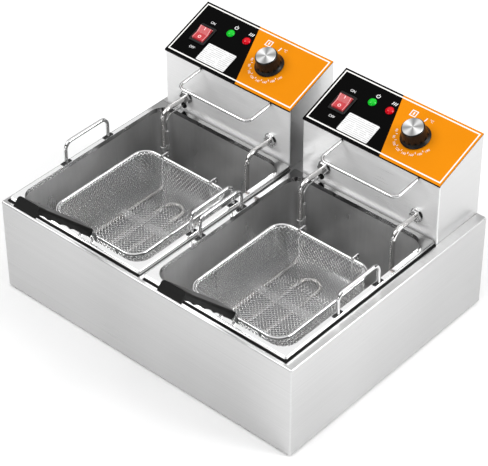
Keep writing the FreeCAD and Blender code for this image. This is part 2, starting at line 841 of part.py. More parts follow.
def make_probe(side):
    """Thermostat bulb clipped behind the left leg, and the capillary up into the head."""
    b = bulb_axis(side)
    low, high = bulb_ends()
    bulb = rod(V(b.x, b.y, low), V(0, 0, 1), bulb_r, high - low)
    bulb = bulb.makeFillet(bulb_round, [e for e in bulb.Edges if len(e.Vertexes) == 1])
    g = grommet_point(side)
    tube = bent_wire([V(b.x, b.y, high - capillary_seat), V(b.x, b.y, g.z),
                      V(g.x, b.y + capillary_back, g.z),
                      V(g.x, head_front + capillary_inside, g.z)], capillary_bend, capillary_r)
    return fuse([bulb, tube])


def make_grommet(side):
    """Black rubber bush in the head's front, round the capillary."""
    g = grommet_point(side)
    body = rod(g - V(0, grommet_lip, 0), V(0, 1, 0), grommet_r, grommet_lip)
    body = body.fuse(rod(g, V(0, 1, 0), grommet_r - grommet_neck, sheet))
    body = body.fuse(rod(g + V(0, sheet, 0), V(0, 1, 0), grommet_r, grommet_lip))
    return body.cut(rod(g - V(0, 5, 0), V(0, 1, 0), capillary_r, 20)).removeSplitter()


# ---- knob, thermostat, switch and lamps ------------------------------------------------------------

def make_thermostat(side):
    """Body under the panel and its threaded bush through it, bored for the shaft."""
    x_left = head_centre(side) - head_w / 2
    under = -panel_t - sheet
    axis = V(0, 0, 1)
    body = rod(V(knob_u, knob_s, under - thermostat_h), axis, thermostat_r, thermostat_h)
    bush = rod(V(knob_u, knob_s, under - 1), axis, bush_r, 1 - under + bush_up)
    bore = rod(V(knob_u, knob_s, under - thermostat_bore), axis, shaft_r + gap_run,
               2 * thermostat_bore)
    return panel_place(fuse([body, bush]).cut(bore), x_left)


shaft_low = -panel_t - sheet - thermostat_bore + 1.0
shaft_top = knob_h - shaft_seat


def flatted_shaft(low):
    """Shaft from low to its end in the knob, with a flat on the part inside the knob."""
    shaft = rod(V(knob_u, knob_s, low), V(0, 0, 1), shaft_r, shaft_top - low)
    flat = box(knob_u - shaft_r, knob_u + shaft_r, knob_s + shaft_r - shaft_flat,
               knob_s + shaft_r + 1, knob_low + skirt_t, shaft_top + 1)
    return shaft.cut(flat)


def make_shaft(side):
    return panel_place(flatted_shaft(shaft_low), head_centre(side) - head_w / 2)


def make_knob(side):
    """Skirted black knob with a fluted grip, bored for the flatted shaft."""
    x_left = head_centre(side) - head_w / 2
    c = V(knob_u, knob_s, 0)
    up = V(0, 0, 1)
    outline = [(0, knob_low), (skirt_r, knob_low), (skirt_r, knob_low + 0.8),
               (skirt_r - 1.6, skirt_t + 0.6), (knob_top_r + 2.6, skirt_t + 3.0),
               (knob_top_r, knob_h - 1.4), (knob_top_r - 1.2, knob_h), (0, knob_h)]
    pts = [V(c.x + a, c.y, b) for a, b in outline]
    body = Part.Face(Part.makePolygon(pts + [pts[0]])).revolve(c, up, 360)
    body = body.cut(rod(c + V(0, 0, knob_h - cap_t), up, cap_r, cap_t + 1))
    for i in range(knob_flutes):
        a = 2 * math.pi * i / knob_flutes
        p = c + V(math.cos(a), math.sin(a), 0) * (knob_top_r + flute_out)
        body = body.cut(rod(p + V(0, 0, skirt_t + flute_r), up, flute_r, knob_h))
    body = body.cut(rod(c, up, bush_r + 1.5, 3.0))
    body = body.cut(flatted_shaft(0))
    return panel_place(body, x_left)


def make_knob_cap(side):
    x_left = head_centre(side) - head_w / 2
    cap = rod(V(knob_u, knob_s, knob_h - cap_t), V(0, 0, 1), cap_r, cap_t + cap_proud)
    rim = [e for e in cap.Edges if e.CenterOfMass.z > knob_h and len(e.Vertexes) == 1]
    return panel_place(cap.makeChamfer(0.25, rim), x_left)


def make_switch(side):
    """Switch bezel on the panel and the closed body below it, open for the rocker."""
    x_left = head_centre(side) - head_w / 2
    c = (switch_u, switch_s)
    flange = round_prism(c[0], c[1], bezel_w, bezel_l, 2.0, 0, bezel_t)
    top = [e for e in flange.Edges if e.BoundBox.ZMin > bezel_t - 1e-3]
    flange = flange.makeFillet(0.9, top)
    half_bw, half_bl = bezel_w / 2 - bezel_lap, bezel_l / 2 - bezel_lap
    body = box(c[0] - half_bw, c[0] + half_bw, c[1] - half_bl, c[1] + half_bl,
               -switch_body_h, 0.5)
    half_ww = rocker_w / 2 + gap_panel
    half_wl = rocker_l / 2 + gap_panel + rocker_end_gap
    well = box(c[0] - half_ww, c[0] + half_ww, c[1] - half_wl, c[1] + half_wl,
               -switch_well, bezel_t + 1)
    return panel_place(fuse([flange, body]).cut(well), x_left)


def make_rocker(side):
    """Red rocker with two facets; drawn level, then tipped to its off position."""
    x_left = head_centre(side) - head_w / 2
    half = rocker_l / 2
    tip = half * math.tan(math.radians(rocker_tilt))
    crown = bezel_t + 1.0
    rise = 1.6 * tip
    outline = [(-half, -4.0), (-half, crown + rise), (0, crown), (half, crown + rise),
               (half, -4.0), (3.0, -6.0), (-3.0, -6.0)]
    pts = [V(switch_u - rocker_w / 2, switch_s + a, b) for a, b in outline]
    body = Part.Face(Part.makePolygon(pts + [pts[0]])).extrude(V(rocker_w, 0, 0))
    # end faces curved about the pivot so that the rocker keeps its gap as it tips
    drum = rod(V(switch_u - rocker_w, switch_s, rocker_pivot_h), V(1, 0, 0),
               half, 2 * rocker_w)
    body = body.common(drum)
    body.rotate(V(switch_u, switch_s, rocker_pivot_h), V(1, 0, 0), rocker_tilt)
    return panel_place(body, x_left)


def make_lamp(side, u):
    """Domed lens on the panel with a slim body through it."""
    x_left = head_centre(side) - head_w / 2
    c = V(u, lamp_s, 0)
    up = V(0, 0, 1)
    ball_r = (lamp_r ** 2 + lamp_dome ** 2) / (2 * lamp_dome)
    dome = Part.makeSphere(ball_r, c + V(0, 0, lamp_base + lamp_dome - ball_r)).common(
        rod(c + V(0, 0, lamp_base), up, lamp_r, lamp_dome + 1))
    base = rod(c, up, lamp_r, lamp_base)
    stem = rod(c - V(0, 0, lamp_body_h), up, lamp_body_r, lamp_body_h)
    return panel_place(fuse([dome, base, stem]), x_left)


def make_gland(side):
    """Cable gland: flange, hexagonal body and rounded nose, bored for the cord."""
    g = gland_point(side)
    out = V(0, 1, 0)
    body = rod(g - V(0, sheet, 0), out, gland_r - gland_neck, sheet)
    body = body.fuse(hexagon(g, 1, 2 * gland_r, gland_l * 0.35))
    nose = rod(g, out, gland_r - 1.0, gland_l)
    tip = [e for e in nose.Edges if e.CenterOfMass.y > g.y + gland_l - 0.1 and len(e.Vertexes) == 1]
    body = body.fuse(nose.makeFillet(2.5, tip))
    body = body.fuse(rod(g - V(0, sheet + gland_nut, 0), out, gland_r, gland_nut))
    return body.cut(rod(g - V(0, 10, 0), out, gland_bore, gland_l + 20)).removeSplitter()


def make_reset(side):
    """Reset button of the high-limit cut-out: a short mushroom that presses inward."""
    p = reset_point(side)
    out = V(0, 1, 0)
    stand = reset_travel + gap_move
    knob = rod(p + V(0, stand, 0), out, reset_r + reset_cap, reset_cap_h)
    knob = knob.makeFillet(1.2, [e for e in knob.Edges
                                 if e.CenterOfMass.y > p.y + stand + reset_cap_h - 0.1
                                 and len(e.Vertexes) == 1])
    stem = rod(p - V(0, reset_inside, 0), out, reset_r, reset_inside + stand)
    return knob.fuse(stem).removeSplitter()


side_name = {-1: "left", 1: "right"}
makers = {
    "tank": make_tank,
    "tank_handles": make_tank_handles,
    "basket_frame": make_basket_frame,
    "basket_mesh": make_basket_mesh,
    "basket_grip": make_grip,
    "grip_brace": make_grip_brace,
    "head_housing": make_head_housing,
    "head_base": make_head_base,
    "head_back": make_head_back,
    "control_panel": make_panel,
    "label_plate": make_label,
    "basket_bail": make_bail,
    "element": make_element,
    "element_nuts": make_element_nuts,
    "element_straps": make_element_straps,
    "thermostat_probe": make_probe,
    "grommet": make_grommet,
    "thermostat": make_thermostat,
    "thermostat_shaft": make_shaft,
    "knob": make_knob,
    "knob_cap": make_knob_cap,
    "switch_bezel": make_switch,
    "rocker": make_rocker,
    "lamp_green": lambda side: make_lamp(side, green_u),
    "lamp_red": lambda side: make_lamp(side, red_u),
    "cable_gland": make_gland,
    "reset_button": make_reset,
}
for side in (-1, 1):
    for name, maker in makers.items():
        parts[name + "_" + side_name[side]] = maker(side)

# ---- put the origin under the middle of the footprint, on the worktop, and save --------------------

whole = FreeCAD.BoundBox()
for shape in parts.values():
    whole.add(shape.BoundBox)
shift = V(0, -(whole.YMin + whole.YMax) / 2, -whole.ZMin)
for name, shape in parts.items():
    moved = shape.copy()
    moved.translate(shift)
    moved.exportStep(os.path.join("parts", name + ".step"))
print("nodes", len(parts), "shift", shift, "size", whole.XLength, whole.YLength, whole.ZLength)
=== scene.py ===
import math

import bmesh
import bpy
from mathutils import Matrix, Vector


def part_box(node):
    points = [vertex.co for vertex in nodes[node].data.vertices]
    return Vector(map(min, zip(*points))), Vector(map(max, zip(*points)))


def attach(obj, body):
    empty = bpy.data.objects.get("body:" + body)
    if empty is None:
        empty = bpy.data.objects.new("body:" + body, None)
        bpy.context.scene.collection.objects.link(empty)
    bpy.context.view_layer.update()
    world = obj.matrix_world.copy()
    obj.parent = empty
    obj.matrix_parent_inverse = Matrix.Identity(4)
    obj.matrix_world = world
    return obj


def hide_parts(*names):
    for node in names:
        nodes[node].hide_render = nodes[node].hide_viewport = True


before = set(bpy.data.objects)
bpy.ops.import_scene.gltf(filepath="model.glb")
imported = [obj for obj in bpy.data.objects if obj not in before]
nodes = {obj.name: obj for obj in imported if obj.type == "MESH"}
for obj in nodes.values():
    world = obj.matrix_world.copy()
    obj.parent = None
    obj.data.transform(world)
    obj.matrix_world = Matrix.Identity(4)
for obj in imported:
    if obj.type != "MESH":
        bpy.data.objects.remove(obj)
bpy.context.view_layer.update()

mm = 0.001
sides = ("left", "right")


# ---- Casing --------------------------------------------------------------------------
# The body is one sheet of stainless steel, folded at its front and sides and brushed along
# its length, with a well cut in its top for each oil tank. The rear panel and the bottom
# plate are plain cold-rolled sheet, held by small domed screws.

class Signal:
    """One output of a shader node, so that shader maths reads as sums on values."""

    def __init__(self, wiring, socket):
        self.wiring, self.socket = wiring, socket

    def maths(self, operation, *values):
        return self.wiring.maths(operation, *values)

    def __add__(self, other):
        return self.maths("ADD", self, other)

    def __sub__(self, other):
        return self.maths("SUBTRACT", self, other)

    def __rsub__(self, other):
        return self.maths("SUBTRACT", other, self)

    def __mul__(self, other):
        return self.maths("MULTIPLY", self, other)

    def __pow__(self, other):
        return self.maths("POWER", self, other)

    def __gt__(self, other):
        return self.maths("GREATER_THAN", self, other)

    def __lt__(self, other):
        return self.maths("LESS_THAN", self, other)

    def __abs__(self):
        return self.maths("ABSOLUTE", self)

    __radd__ = __add__
    __rmul__ = __mul__

    def part(self, axis):
        """One component of a vector, by its letter."""
        return self.wiring.node("ShaderNodeSeparateXYZ", {}, {0: self}, axis)


class Wiring:
    """The shader nodes of one material, or of the sky."""

    def __init__(self, tree):
        self.tree = tree

    def node(self, kind, settings, sockets, out=0):
        """Adds a node: its settings first, then a value or a link for each socket."""
        made = self.tree.nodes.new(kind)
        for key, value in settings.items():
            if key == "stops":
                stops = made.color_ramp.elements
                while len(stops) < len(value):
                    stops.new(1.0)
                for stop, (at, tone) in zip(stops, value):
                    stop.position = at
                    stop.color = colour(tone)
            else:
                setattr(made, key, value)
        for key, value in sockets.items():
            self.join(made.inputs[key], value)
        return Signal(self, made.outputs[out])

    def join(self, target, value):
        if isinstance(value, Signal):
            self.tree.links.new(value.socket, target)
        else:
            target.default_value = value

    def maths(self, operation, *values):
        return self.node("ShaderNodeMath", {"operation": operation}, dict(enumerate(values)))


class Finish(Wiring):
    """One material, with the nodes that feed its Principled shader."""

    def __init__(self, name, **constants):
        self.material = bpy.data.materials.new(name)
        self.material.use_nodes = True
        super().__init__(self.material.node_tree)
        self.shader = self.tree.nodes["Principled BSDF"]
        self.feed({key.replace("_", " ").title(): value for key, value in constants.items()})

    def feed(self, sockets):
        """Sets or links the shader's own sockets."""
        for key, value in sockets.items():
            self.join(self.shader.inputs[key.replace("Ior", "IOR")], value)

    def place(self):
        """The point on the piece, in metres, which stays with the piece as it moves."""
        return self.node("ShaderNodeTexCoord", {}, {}, "Object")

    def facing(self):
        """The way the surface faces."""
        return self.node("ShaderNodeNewGeometry", {}, {}, "Normal")

    def stretched(self, vector, scale):
        return self.node("ShaderNodeVectorMath", {"operation": "MULTIPLY"}, {0: vector, 1: scale})

    def noise(self, vector, scale, detail=2.0, rough=0.5):
        return self.node("ShaderNodeTexNoise", {}, {"Vector": vector, "Scale": scale,
                                                    "Detail": detail, "Roughness": rough})

    def fade(self, value, start, stop, low, high):
        """Goes from low, where the value is start, to high, where it is stop."""
        return self.node("ShaderNodeMapRange", {}, {0: value, 1: start, 2: stop, 3: low, 4: high})

    def blend(self, amount, low, high):
        """A colour that goes from low to high."""
        tones = [tone if isinstance(tone, Signal) else colour(tone) for tone in (low, high)]
        return self.node("ShaderNodeMix", {"data_type": "RGBA"},
                         {0: amount, 6: tones[0], 7: tones[1]}, 2)

    def relief(self, height, strength, depth):
        """A bump from a height, for the Normal socket."""
        return self.node("ShaderNodeBump", {}, {"Height": height, "Strength": strength,
                                                "Distance": depth})


def colour(tone):
    """A grey from one number, or a colour from three."""
    if isinstance(tone, (int, float)):
        tone = (tone, tone, tone)
    return (*tone, 1.0)


def wear(*pieces, finish):
    """Gives the pieces this finish in place of the plain one they came with."""
    for piece in pieces:
        piece.data.materials.clear()
        piece.data.materials.append(finish.material)


def brushed_steel(name, tone, gloss, grain=1.0, clouds=0.05, front_highlight_tone=None):
    """Stainless sheet with a level brushed grain on its walls and a lengthwise one on top.

    The front tone is a painted highlight: it makes the walls that face the front paler and
    less metallic."""
    slow, fine = 2.0, 1300.0
    highlight_metal_loss = 0.75
    spread = 0.28
    finish = Finish(name, metallic=1.0)
    spot = finish.place()
    level = abs(finish.facing().part("Z")) > 0.6
    # painted highlight: walls that face the front are paler and less metallic
    if front_highlight_tone:
        front = finish.facing().part("Y") < -0.5
        tone = front * (front_highlight_tone - tone) + tone
        finish.feed({"Metallic": 1 - front * highlight_metal_loss})
    walls = finish.noise(finish.stretched(spot, (slow, slow, fine)), 1.0, 3.0, 0.7)
    top = finish.noise(finish.stretched(spot, (slow, fine, slow)), 1.0, 3.0, 0.7)
    streaks = walls * (1 - level) + top * level
    cloud = finish.noise(spot, 9.0)
    bands = finish.noise(finish.stretched(spot, (5.0, 5.0, 1.5)), 1.0, 1.0)
    shade = (streaks - 0.5) * (0.5 * grain) + (cloud - 0.5) * clouds + (bands - 0.5) * 0.5
    finish.feed({"Base Color": finish.blend(shade + 0.5, tone * (1 - spread), tone * (1 + spread)),
                 "Roughness": (streaks - 0.5) * (0.10 * grain) + (cloud - 0.5) * 0.08 + gloss,
                 "Normal": finish.relief(streaks, 0.10 * grain, 0.0002)})
    return finish


casing_finish = brushed_steel("brushed_casing", 0.585, 0.30)
plain_finish = brushed_steel("cold_rolled_sheet", 0.55, 0.42, grain=0.5, clouds=0.12)
wear(nodes["casing_shell"], finish=casing_finish)
wear(nodes["back_panel"], nodes["bottom_plate"], finish=plain_finish)

screw_finish = Finish("zinc_screw", metallic=1.0)
speckle = screw_finish.noise(screw_finish.place(), 900.0, 3.0)
screw_finish.feed({"Base Color": screw_finish.blend(speckle, 0.42, 0.60),
                   "Roughness": speckle * 0.2 + 0.25})
wear(nodes["casing_screws"], nodes["locating_pegs"], finish=screw_finish)

rubber_finish = Finish("black_rubber", specular_ior_level=0.12)
grit = rubber_finish.noise(rubber_finish.place(), 700.0, 4.0)
rubber_finish.feed({"Base Color": rubber_finish.blend(grit, 0.004, 0.016),
                    "Roughness": grit * 0.2 + 0.6,
                    "Normal": rubber_finish.relief(grit, 0.3, 0.0002)})
wear(nodes["feet"], finish=rubber_finish)


# ---- Oil tanks -----------------------------------------------------------------------
# Each tank is one stainless blank, deep-drawn to a pan with round corners and floor, with a
# flat rim whose edge is turned down over the casing. The drawn walls are satin and cloudy.

tank_rim_z = 161.5 * mm
# heights between which the painted shade on the tank walls fades out
shade_deep_z, shade_end_z = 20.0 * mm, 90.0 * mm
# where the painted dark reflection on the rim's rear part fades out
reflection_rear_y, reflection_front_y = 132.0 * mm, 118.0 * mm


def drawn_steel(name):
    """Painted shade makes the pan darker towards its floor; the rim is bright but for its rear
    part, which is painted dark as a reflection.
    """
    finish = Finish(name)
    spot = finish.place()
    drawn = finish.noise(finish.stretched(spot, (220.0, 220.0, 6.0)), 1.0, 2.0)
    cloud = finish.noise(spot, 14.0, 3.0)
    rim = spot.part("Z") > tank_rim_z
    shade = (drawn - 0.5) * 0.07 + (cloud - 0.5) * 0.40 + 0.5
    # painted shade: the walls darken towards the pan's floor
    painted_depth_shade = finish.fade(spot.part("Z"), shade_deep_z, shade_end_z, 0.4, 1.0)
    inside = finish.blend(shade * painted_depth_shade, 0.15, 1.0)
    # painted reflection: the rear part of the rim is darker
    rim_reflection_fade = finish.fade(spot.part("Y"), reflection_rear_y, reflection_front_y, 0.0, 1.0)
    satin = (cloud - 0.5) * 0.14 + (drawn - 0.5) * 0.05 + 0.30
    finish.feed({"Base Color": finish.blend(rim, inside, finish.blend(rim_reflection_fade, 0.34, 0.84)),
                 "Metallic": rim * 0.22 + 0.78,
                 "Roughness": satin * (1 - rim) + rim * 0.07,
                 "Normal": finish.relief((drawn * 0.05 + cloud) * (1 - rim), 0.10, 0.0006)})
    return finish


tank_finish = drawn_steel("drawn_tank")
for side in sides:
    wear(nodes["tank_" + side], finish=tank_finish)


# ---- Painted shadow under the tank rims ----------------------------------------------
# A black strip on the deck under each tank's turned-down rim is painted shadow: it stands
# in for the shadowed gap below the rim. It is fixed to the casing and stays when the tank
# is lifted out.

shadow_strip_t = 1.4 * mm
shadow_strip_w = 4.0 * mm
shadow_strip_inner = 0.5 * mm
shadow_strip_outer = 2.0 * mm


def put(name, data):
    """Puts a mesh, lamp or camera into the scene."""
    made = bpy.data.objects.new(name, data)
    bpy.context.scene.collection.objects.link(made)
    return made


def put_shape(name, shape):
    """Puts a shape that was built face by face into the scene, as a mesh."""
    bmesh.ops.recalc_face_normals(shape, faces=shape.faces)
    data = bpy.data.meshes.new(name)
    shape.to_mesh(data)
    shape.free()
    return put(name, data)


def flat_frame(name, low, high, width, floor_z, height):
    """A flat rectangular frame of this width, as one closed mesh."""
    shape = bmesh.new()
    loops = []
    for z in (floor_z, floor_z + height):
        for step in (0.0, width):
            corners = ((low.x + step, low.y + step), (high.x - step, low.y + step),
                       (high.x - step, high.y - step), (low.x + step, high.y - step))
            loops.append([shape.verts.new((x, y, z)) for x, y in corners])
    for a, b in ((0, 1), (3, 2), (2, 0), (1, 3)):
        for i in range(4):
            j = (i + 1) % 4
            shape.faces.new((loops[a][i], loops[a][j], loops[b][j], loops[b][i]))
    return put_shape(name, shape)


deck_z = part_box("casing_shell")[1].z
for side in sides:
    low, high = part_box("tank_" + side)
    out_left, out_right = (shadow_strip_outer, -shadow_strip_inner) if side == "left" else (-shadow_strip_inner, shadow_strip_outer)
    low -= Vector((out_left, shadow_strip_outer, 0))
    high += Vector((out_right, -shadow_strip_inner, 0))
    # a dark frame just below the rim, as painted shadow
    shadow_strip = flat_frame("tank_seal_" + side, low, high, shadow_strip_w, deck_z, shadow_strip_t)
    wear(shadow_strip, finish=rubber_finish)
    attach(shadow_strip, "casing")


# ---- Bright wires --------------------------------------------------------------------
# The tank handles, basket frames, grip braces and bails are bent from round steel wire,
# welded, then chromed. The plating is bright, with faint ripples, and the tank handles are
# painted dark just above where they stand on the rim, as painted shadow.

chrome_tone, chrome_gloss = 0.72, 0.08
foot_shadow_tone = 0.04
foot_shadow_from, foot_shadow_to = 1.1 * mm, 2.2 * mm


def bright_plate(name, tone, gloss, weld_z=None):
    """Rippled bright metal; weld_z, where given, is the height where the wire is welded on, and
    just above it the wire is painted dark as shadow.
    """
    finish = Finish(name, metallic=1.0)
    spot = finish.place()
    ripple = finish.noise(spot, 160.0, 3.0)
    haze = finish.noise(spot, 35.0)
    if weld_z is None:
        base = finish.blend(haze, tone * 0.9, tone * 1.05)
    else:
        # painted shadow at the foot of the wire, where it stands on the rim
        clear = finish.fade(spot.part("Z"), weld_z + foot_shadow_from, weld_z + foot_shadow_to, 0.0, 1.0)
        base = finish.blend(clear, foot_shadow_tone, tone)
    finish.feed({"Base Color": base,
                 "Roughness": (haze - 0.5) * 0.12 + gloss,
                 "Normal": finish.relief(ripple, 0.05, 0.0004)})
    return finish


chrome_finish = bright_plate("chromed_wire", chrome_tone, chrome_gloss)
for side in sides:
    for wire in ("basket_frame_", "grip_brace_", "basket_bail_"):
        wear(nodes[wire + side], finish=chrome_finish)

# The tank handles carry a painted shadow where they stand on the rim.
foot_shadow_finish = bright_plate("handle_wire", chrome_tone, chrome_gloss,
                             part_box("tank_handles_left")[0].z)
for side in sides:
    wear(nodes["tank_handles_" + side], finish=foot_shadow_finish)


# ---- Basket mesh ---------------------------------------------------------------------
# The basket's walls and floor are woven from fine wire laid aslant, each wire crimped over
# and under the ones it crosses, and welded to the rim, the frame and at the floor's edge.

mesh_wire_r = 0.5 * mm
mesh_section = 1.25          # makes up for the flats of a four-sided wire
mesh_across = 6.3 * mm
mesh_drop = 8.2 * mm
mesh_corner_r = 21.5 * mm
mesh_floor_r = 12.2 * mm


class Strands:
    """Collects thin square-section strands into one mesh."""

    def __init__(self):
        self.points, self.faces = [], []

    def strand(self, path):
        """path is a list of (point, outward normal); the strand turns with the path."""
        first = len(self.points)
        n = len(path)
        for i, (point, out) in enumerate(path):
            before, after = path[max(i - 1, 0)][0], path[min(i + 1, n - 1)][0]
            along = (after - before).normalized()
            across = along.cross(out).normalized()
            up = across.cross(along)
            for k in range(4):
                angle = math.pi / 4 + k * math.pi / 2
                self.points.append(point + (across * math.cos(angle) + up * math.sin(angle))
                                   * mesh_wire_r * mesh_section)
        for i in range(n - 1):
            a, b = first + 4 * i, first + 4 * (i + 1)
            for k in range(4):
                j = (k + 1) % 4
                self.faces.append((a + k, a + j, b + j, b + k))
        self.faces.append(tuple(first + k for k in (3, 2, 1, 0)))
        self.faces.append(tuple(first + 4 * (n - 1) + k for k in range(4)))

    def piece(self, name):
        data = bpy.data.meshes.new(name)
        data.from_pydata([tuple(p) for p in self.points], [], self.faces)
        data.polygons.foreach_set("use_smooth", [True] * len(data.polygons))
        data.update()
        return put(name, data)


class Pan:
    """The surface that the mesh lies in: a box with round corners and a round-edged floor."""

    def __init__(self, node):
        low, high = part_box(node)
        inset = 2 * mesh_wire_r
        self.middle = Vector(((low.x + high.x) / 2, (low.y + high.y) / 2, 0))
        self.half = ((high.x - low.x) / 2 - inset, (high.y - low.y) / 2 - inset)
        self.floor, self.top = low.z + inset, high.z - mesh_wire_r
        self.corner, self.bend = mesh_corner_r - inset, mesh_floor_r - inset
        self.straight = [2 * (side - self.corner) for side in self.half]
        self.quarter = self.corner * math.pi / 2
        self.around = 2 * sum(self.straight) + 4 * self.quarter
        self.wall = self.top - self.floor - self.bend
        self.down = self.wall + self.bend * math.pi / 2

    def on_wall(self, u, v):
        """The point and outward normal at u along the rim and v down the wall."""
        tilt = max(0.0, v - self.wall) / self.bend
        pull = self.bend * (1 - math.cos(tilt))
        z = self.top - v if v < self.wall else self.floor + self.bend * (1 - math.sin(tilt))
        u %= self.around
        for q in range(4):
            run = self.straight[q % 2]
            facing = Vector((math.sin(q * math.pi / 2), -math.cos(q * math.pi / 2), 0))
            along = Vector((-facing.y, facing.x, 0))
            reach = self.half[1 - q % 2]
            if u < run:
                point = facing * (reach - pull) + along * (u - run / 2)
                break
            u -= run
            if u < self.quarter:
                hub = facing * (reach - self.corner) + along * run / 2
                turn = u / self.corner
                facing = facing * math.cos(turn) + along * math.sin(turn)
                point = hub + facing * (self.corner - pull)
                break
            u -= self.quarter
        normal = facing * math.cos(tilt) - Vector((0, 0, math.sin(tilt)))
        return self.middle + point + Vector((0, 0, z)), normal

    def on_floor(self, point):
        past = [max(0.0, abs(at) - run / 2) for at, run in zip(point, self.straight)]
        return math.hypot(*past) <= self.corner - self.bend

    def floor_edge(self, a, b):
        """Where the floor's edge lies between two points, one on the floor and one off it."""
        a_is_on = self.on_floor(a)
        for halving in range(8):
            midway = (a + b) / 2
            if self.on_floor(midway) == a_is_on:
                a = midway
            else:
                b = midway
        return a


def woven_basket(node, name):
    """The weave as one mesh, in the surface of that CAD node."""
    pan = Pan(node)
    strands = Strands()
    # walls: two families of wires that run down aslant, one each way
    count = round(pan.around / mesh_across)
    drops = round(2 * pan.down / mesh_drop)
    for way in (-1, 1):
        for i in range(count):
            path = []
            for level in range(drops + 1):
                point, normal = pan.on_wall((i + way * level / 2) * pan.around / count,
                                            level / drops * pan.down)
                crimp = mesh_wire_r * way * (-1) ** level
                path.append((point + normal * crimp, normal))
            strands.strand(path)
    # floor: two families across each other, cut off at the floor's edge
    reach = int(sum(pan.half) / mesh_across) + 1
    centre = pan.middle + Vector((0, 0, pan.floor))
    down = Vector((0, 0, -1))
    for way in (-1, 1):
        for i in range(-reach, reach + 1):
            path, last, last_is_on = [], None, False
            for j in range(-reach, reach + 1):
                here = Vector((i + j, (j - i) * way, 0)) * mesh_across / 2
                is_on = pan.on_floor(here)
                if is_on != last_is_on:
                    path.append((centre + pan.floor_edge(last, here), down))
                if is_on:
                    crimp = mesh_wire_r * way * (-1) ** (i + j)
                    path.append((centre + here + down * crimp, down))
                last, last_is_on = here, is_on
            if len(path) > 1:
                strands.strand(path)
    return strands.piece(name)


mesh_finish = bright_plate("woven_wire", 0.94, 0.20)
for side in sides:
    weave = woven_basket("basket_mesh_" + side, "basket_weave_" + side)
    wear(weave, finish=mesh_finish)
    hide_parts("basket_mesh_" + side)
    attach(weave, "basket_" + side)


# ---- Basket grips --------------------------------------------------------------------
# Black phenolic mouldings: a channel open below, with finger waves along its edges and a
# lip at the end. Satin, with a faint moulded grain, a painted highlight on its edges, and
# painted shade that makes it deep black at the end and on the sides.

grip_cap = 24.0 * mm

grip_finish = Finish("black_phenolic", specular_ior_level=0.16)
grain = grip_finish.noise(grip_finish.place(), 1400.0, 3.0)
flow = grip_finish.noise(grip_finish.place(), 60.0, 3.0)
edge = grip_finish.node("ShaderNodeNewGeometry", {}, {}, "Pointiness")
# painted highlight on the sharp edges
edge_highlight = grip_finish.node("ShaderNodeValToRGB", {"stops": [(0.50, 0.0), (0.62, 1.0)]}, {0: edge})
body = grip_finish.blend(edge_highlight * 0.6, grip_finish.blend(flow, 0.012, 0.024), 0.16)
# painted shade: the end and the side flanges are deep black
end_shade = grip_finish.place().part("Y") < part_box("basket_grip_left")[0].y + grip_cap
side_shade = abs(grip_finish.facing().part("X")) > 0.5
dark = grip_finish.maths("MAXIMUM", end_shade, side_shade)
grip_finish.feed({"Base Color": grip_finish.blend(dark, body, 0.002),
                  "Roughness": grain * 0.12 + flow * 0.12 + 0.34,
                  "Normal": grip_finish.relief(grain, 0.12, 0.0003)})
for side in sides:
    wear(nodes["basket_grip_" + side], finish=grip_finish)


# ---- Heating elements ----------------------------------------------------------------
# Each element is one tube of nickel alloy, bent into hairpin loops and legs, polished and
# slightly browned by heat. Flat straps hold its loops, and nuts clamp its legs to the head.

new_alloy, browned_alloy = (0.72, 0.71, 0.70), (0.42, 0.39, 0.36)
element_finish = Finish("element_tube", metallic=1.0)
spot = element_finish.place()
browned = element_finish.noise(spot, 24.0, 3.0)
depth = element_finish.fade(spot.part("Z"), 120.0 * mm, 30.0 * mm, 0.0, 1.0)
element_finish.feed({"Base Color": element_finish.blend(browned * depth, new_alloy, browned_alloy),
                     "Roughness": browned * 0.14 + 0.10,
                     "Normal": element_finish.relief(browned, 0.03, 0.0005)})
strap_finish = brushed_steel("strap_steel", 0.60, 0.34)
probe_finish = bright_plate("drawn_probe", 0.50, 0.30)
for side in sides:
    wear(nodes["element_" + side], finish=element_finish)
    wear(nodes["element_straps_" + side], finish=strap_finish)
    wear(nodes["element_nuts_" + side], finish=chrome_finish)
    wear(nodes["thermostat_probe_" + side], finish=probe_finish)
    wear(nodes["grommet_" + side], finish=rubber_finish)


# ---- Control heads -------------------------------------------------------------------
# Each head is a folded stainless housing with a sloped top, a base plate and a vented rear
# cover. It stands behind its tank on two pegs and lifts off with the element.

# The head's walls that face the front carry a painted highlight: paler and less metallic.
head_finish = brushed_steel("polished_head", 0.62, 0.30, grain=0.5, front_highlight_tone=0.92)
for side in sides:
    wear(nodes["head_housing_" + side], finish=head_finish)
    wear(nodes["head_base_" + side], nodes["head_back_" + side], finish=plain_finish)


# ---- Control panels ------------------------------------------------------------------
# Printed sheet on the slope: black at the switch, orange at the knob, parted on a slant,
# with a white line round its edge, white dial figures and a plain white label plate.

panel_t = 1.2 * mm
panel_rise = 37.0 * mm
knob_at = (168.5 * mm, 52.0 * mm)
switch_at = (36.5 * mm, 49.0 * mm)
slant_foot = 142.3 * mm
slant_lean = 35.0 / 105.0
line_at, line_w = 4.1 * mm, 2.1 * mm
ink_t = 0.12 * mm
orange = (0.74, 0.238, 0.003)
ink_black = 0.001
ink_white = (0.90, 0.89, 0.86)


def panel_frame(side):
    """Matrix from the panel's own flat (across, up the slope, outward) to the machine."""
    low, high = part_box("control_panel_" + side)
    front = Vector((low.x, low.y + panel_t, high.z - panel_rise))
    up = Vector((0, high.y - front.y, panel_rise)).normalized()
    out = Vector((1, 0, 0)).cross(up)
    turn = Matrix((Vector((1, 0, 0)), up, out)).transposed().to_4x4()
    return Matrix.Translation(front) @ turn


def on_panel(finish, side, axis):
    """How far a point is across the panel (0), up its slope (1) or out from its face (2)."""
    row = panel_frame(side).inverted()[axis]
    return finish.node("ShaderNodeVectorMath", {"operation": "DOT_PRODUCT"},
                       {0: finish.place(), 1: tuple(row[:3])}, "Value") + row[3]


def panel_size(side):
    low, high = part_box("control_panel_" + side)
    return high.x - low.x, math.hypot(high.y - low.y - panel_t, panel_rise)


